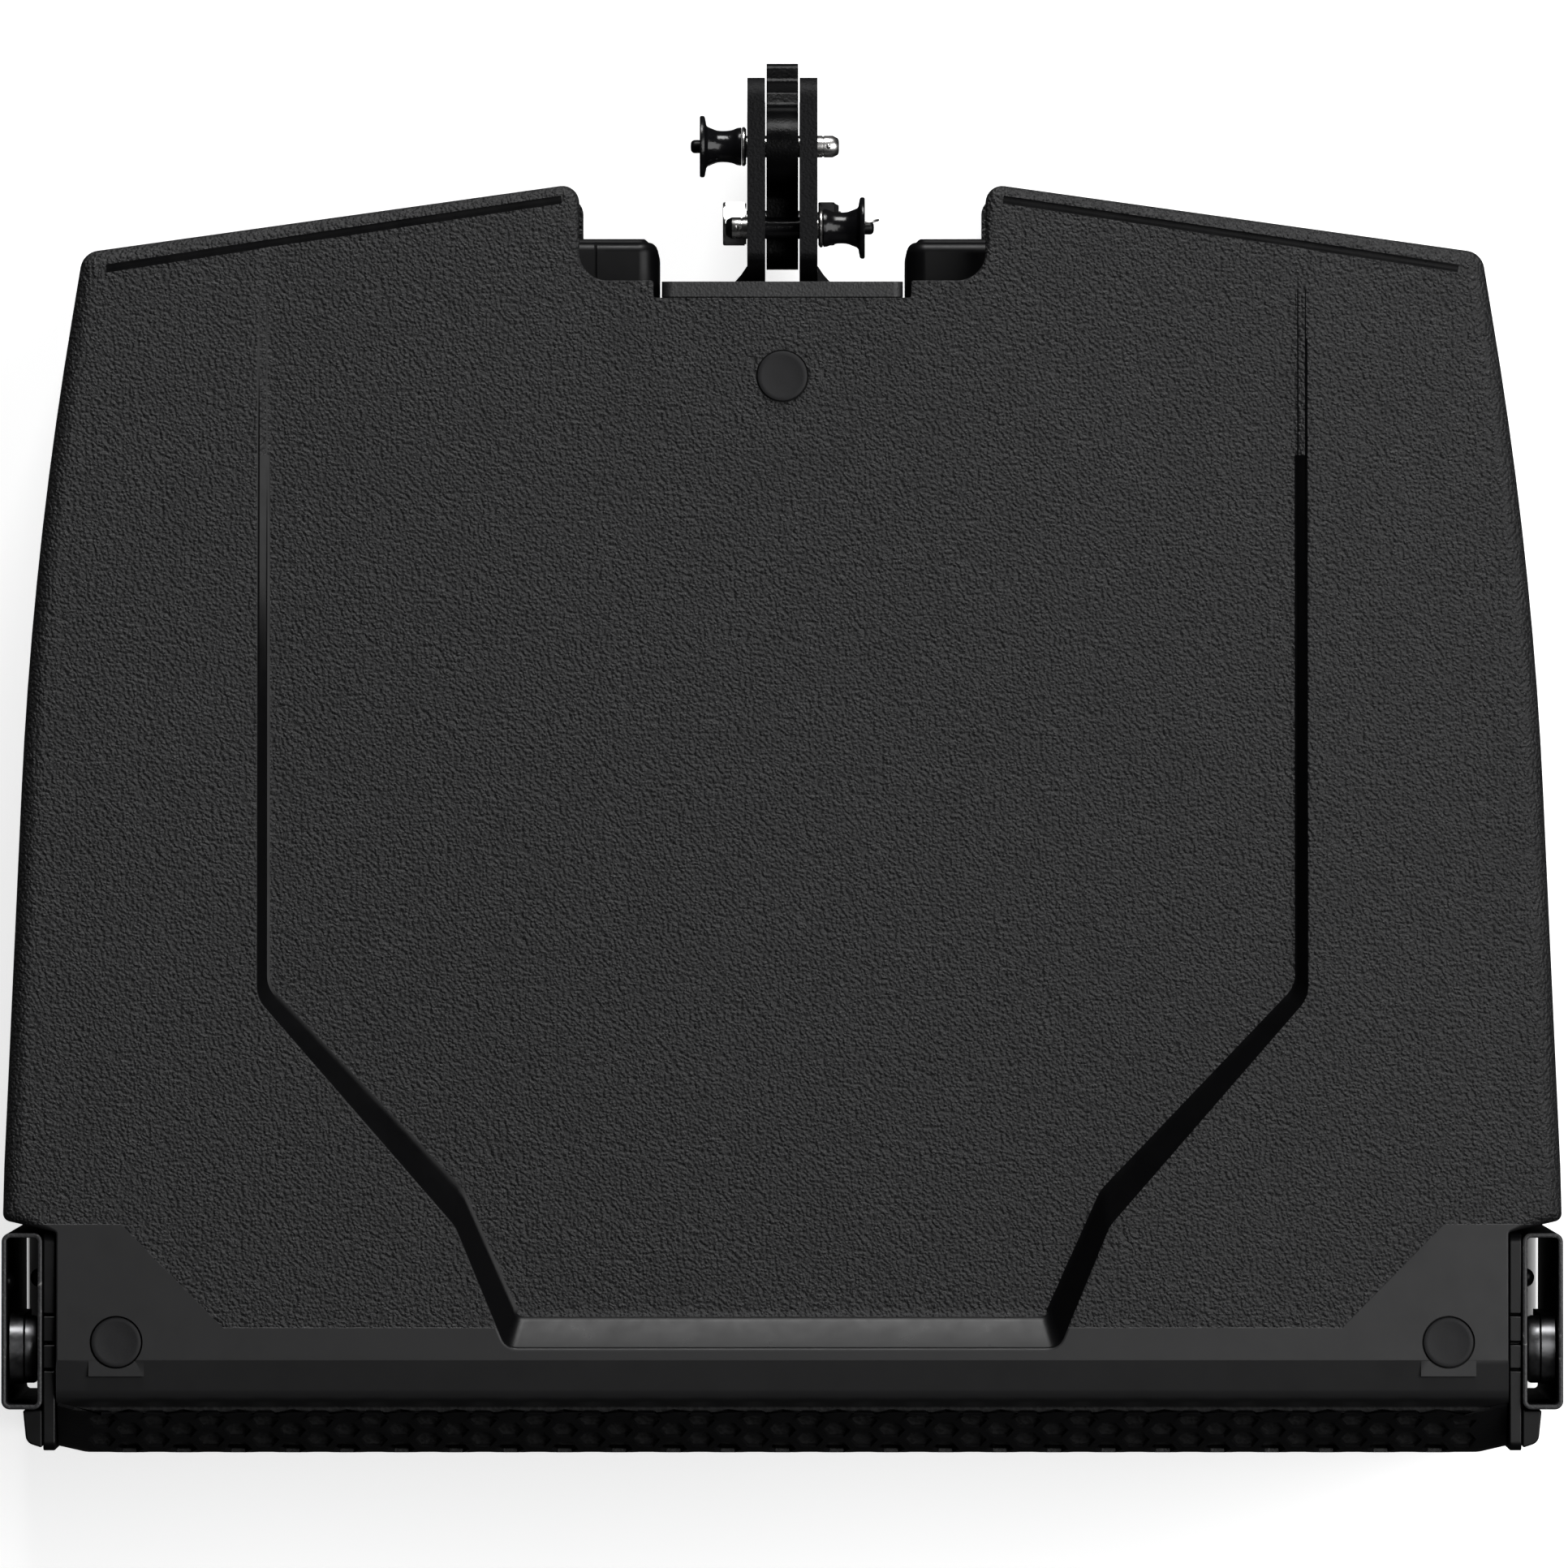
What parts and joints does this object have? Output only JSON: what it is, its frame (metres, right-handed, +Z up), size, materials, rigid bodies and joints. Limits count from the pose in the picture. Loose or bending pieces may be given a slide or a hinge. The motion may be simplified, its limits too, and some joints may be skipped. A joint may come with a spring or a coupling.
{
  "type": "line array speaker",
  "caption": "Compact powered line array speaker module: wedge-shaped moulded cabinet, bent steel grille, front rigging tubes and a pinned rear link.",
  "frame": {"origin": "centre of the bounding box's bottom face, on the plane of the three rubber feet", "axes": "+Z up, +X to the cabinet's right seen from behind the camera with the grille towards the viewer, -Y towards the grille, +Y to the rear rigging"},
  "size_m": [0.469, 0.428, 0.2306],
  "materials": {
    "cabinet_shell": "black moulded plastic with a leather grain, smooth front band",
    "trim_plastic": "satin black",
    "socket_plastic": "satin black",
    "grille_steel": "black powder coat",
    "rigging_steel": "textured black powder coat",
    "link_steel": "satin black",
    "driver_steel": "black",
    "panel_metal": "fine black powder coat",
    "bright_steel": "polished, lightly worn",
    "rubber": "matte black",
    "surround_rubber": "matte black",
    "foam": "open-cell black foam",
    "cone_paper": "pressed dark pulp",
    "ferrite": "matte grey",
    "aluminium": "black anodised",
    "circuit_board": "satin green",
    "baffle_board": "painted black"
  },
  "bodies": {
    "cabinet": {"amplifier_board": "circuit_board", "cheek_left": "trim_plastic", "cheek_right": "trim_plastic", "compression_driver": "ferrite", "deck_pad_left": "rubber", "deck_pad_rear": "rubber", "deck_pad_right": "rubber", "ear_left": "rigging_steel", "ear_right": "rigging_steel", "foot_left": "rubber", "foot_rear": "rubber", "foot_right": "rubber", "front_baffle": "baffle_board", "grille": "grille_steel", "grille_foam": "foam", "guide_pin_left": "bright_steel", "guide_pin_right": "bright_steel", "heatsink": "aluminium", "hood_left": "trim_plastic", "hood_right": "trim_plastic", "horn": "trim_plastic", "lower_shell": "cabinet_shell", "mains_inlet_socket": "socket_plastic", "mains_link_socket": "socket_plastic", "pivot_bolt": "bright_steel", "pivot_nut": "bright_steel", "power_supply_board": "circuit_board", "rear_panel_left": "panel_metal", "rear_panel_right": "panel_metal", "reflex_port_left": "trim_plastic", "reflex_port_right": "trim_plastic", "rigging_tube_left": "rigging_steel", "rigging_tube_right": "rigging_steel", "side_strip_left": "trim_plastic", "side_strip_right": "trim_plastic", "signal_input_socket": "socket_plastic", "signal_link_socket": "socket_plastic", "spine_plate": "rigging_steel", "upper_shell": "cabinet_shell", "woofer_basket_left": "driver_steel", "woofer_basket_right": "driver_steel", "woofer_magnet_left": "ferrite", "woofer_magnet_right": "ferrite", "woofer_surround_left": "surround_rubber", "woofer_surround_right": "surround_rubber"},
    "cone_left": {"woofer_cone_left": "cone_paper"},
    "cone_right": {"woofer_cone_right": "cone_paper"},
    "level_knob": {"level_knob": "trim_plastic"},
    "cluster_knob": {"cluster_knob": "trim_plastic"},
    "curve_knob": {"curve_knob": "trim_plastic"},
    "rear_link": {"rear_link": "link_steel"},
    "upper_pin": {"upper_pin": "link_steel"},
    "upper_pin_button": {"upper_pin_button": "trim_plastic"},
    "lower_pin": {"lower_pin": "link_steel"},
    "lower_pin_button": {"lower_pin_button": "trim_plastic"},
    "front_link_left": {"front_link_left": "bright_steel"},
    "front_link_right": {"front_link_right": "bright_steel"}
  },
  "joints": [
    {"name": "rear_link_swing", "type": "hinge", "parent": "cabinet", "child": "rear_link", "pos_m": [0, 0.16547, 0.13625], "axis": [1, 0, 0], "range_deg": [-4, 4]},
    {"name": "upper_pin_pull", "type": "slide", "parent": "cabinet", "child": "upper_pin", "axis": [-1, 0, 0], "range_m": [0, 0.035]},
    {"name": "upper_pin_press", "type": "slide", "parent": "upper_pin", "child": "upper_pin_button", "axis": [1, 0, 0], "range_m": [0, 0.0015], "stiffness_N_per_m": 400},
    {"name": "lower_pin_pull", "type": "slide", "parent": "cabinet", "child": "lower_pin", "axis": [1, 0, 0], "range_m": [0, 0.035]},
    {"name": "lower_pin_press", "type": "slide", "parent": "lower_pin", "child": "lower_pin_button", "axis": [-1, 0, 0], "range_m": [0, 0.0015], "stiffness_N_per_m": 400},
    {"name": "front_link_left_raise", "type": "slide", "parent": "cabinet", "child": "front_link_left", "axis": [0, 0.0698, 0.9976], "range_m": [0, 0.044]},
    {"name": "cone_left_travel", "type": "slide", "parent": "cabinet", "child": "cone_left", "axis": [0, -0.9976, 0.0698], "range_m": [-0.003, 0.003], "stiffness_N_per_m": 900},
    {"name": "front_link_right_raise", "type": "slide", "parent": "cabinet", "child": "front_link_right", "axis": [0, 0.0698, 0.9976], "range_m": [0, 0.044]},
    {"name": "cone_right_travel", "type": "slide", "parent": "cabinet", "child": "cone_right", "axis": [0, -0.9976, 0.0698], "range_m": [-0.003, 0.003], "stiffness_N_per_m": 900},
    {"name": "level_turn", "type": "hinge", "parent": "cabinet", "child": "level_knob", "pos_m": [-0.146, 0.13805, 0.12113], "axis": [0, 0.9976, -0.0698], "range_deg": [-150, 150]},
    {"name": "cluster_turn", "type": "hinge", "parent": "cabinet", "child": "cluster_knob", "pos_m": [-0.146, 0.13554, 0.08522], "axis": [0, 0.9976, -0.0698], "range_deg": [-150, 150]},
    {"name": "curve_turn", "type": "hinge", "parent": "cabinet", "child": "curve_knob", "pos_m": [-0.146, 0.13303, 0.0493], "axis": [0, 0.9976, -0.0698], "range_deg": [-150, 150]}
  ]
}
